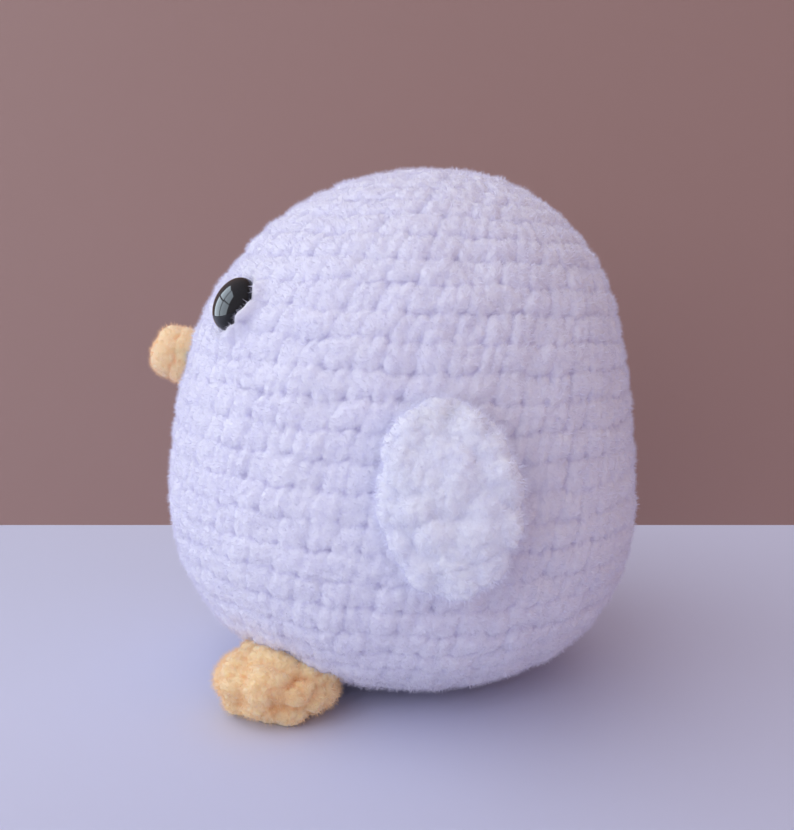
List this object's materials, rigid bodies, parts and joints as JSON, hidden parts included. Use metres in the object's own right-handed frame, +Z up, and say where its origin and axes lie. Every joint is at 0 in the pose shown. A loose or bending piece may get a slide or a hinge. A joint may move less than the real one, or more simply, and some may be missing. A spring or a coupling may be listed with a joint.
{
  "type": "crochet bird",
  "caption": "Plump crocheted toy bird of plush yarn, filled, with snap-in eyes, a ball beak, small cushion feet and sewn-on wings that lift.",
  "frame": {"origin": "on the surface that the bird stands on, at the middle of the body's flat base", "axes": "+Z up, the bird faces -Y, its left side is +X; -Z points out of the flat base, and +X is the longest extent, from wing to wing"},
  "size_m": [0.146, 0.1369, 0.1388],
  "materials": {
    "white_yarn": "fluffy white chenille yarn in single crochet",
    "peach_yarn": "fluffy pale peach chenille yarn",
    "apricot_yarn": "fluffy apricot chenille yarn",
    "eye_plastic": "polished black",
    "washer_plastic": "milky clear",
    "fibre_filling": "loose white polyester fibre"
  },
  "bodies": {
    "body": {"body_cover": "white_yarn", "body_filling": "fibre_filling", "left_eye": "eye_plastic", "right_eye": "eye_plastic", "left_eye_washer": "washer_plastic", "right_eye_washer": "washer_plastic", "left_wing_stitch": "white_yarn", "right_wing_stitch": "white_yarn", "beak": "peach_yarn", "beak_stitch": "peach_yarn", "left_foot": "apricot_yarn", "right_foot": "apricot_yarn", "left_foot_stitch": "apricot_yarn", "right_foot_stitch": "apricot_yarn"},
    "left_wing": {"left_wing": "white_yarn"},
    "right_wing": {"right_wing": "white_yarn"}
  },
  "joints": [
    {"name": "left_wing_lift", "type": "hinge", "parent": "body", "child": "left_wing", "pos_m": [0.06619, 0.00517, 0.07961], "axis": [0.1132, -0.9936, 0], "range_deg": [0, 75]},
    {"name": "right_wing_lift", "type": "hinge", "parent": "body", "child": "right_wing", "pos_m": [-0.06619, 0.00517, 0.07961], "axis": [0.1132, 0.9936, 0], "range_deg": [0, 75]}
  ]
}
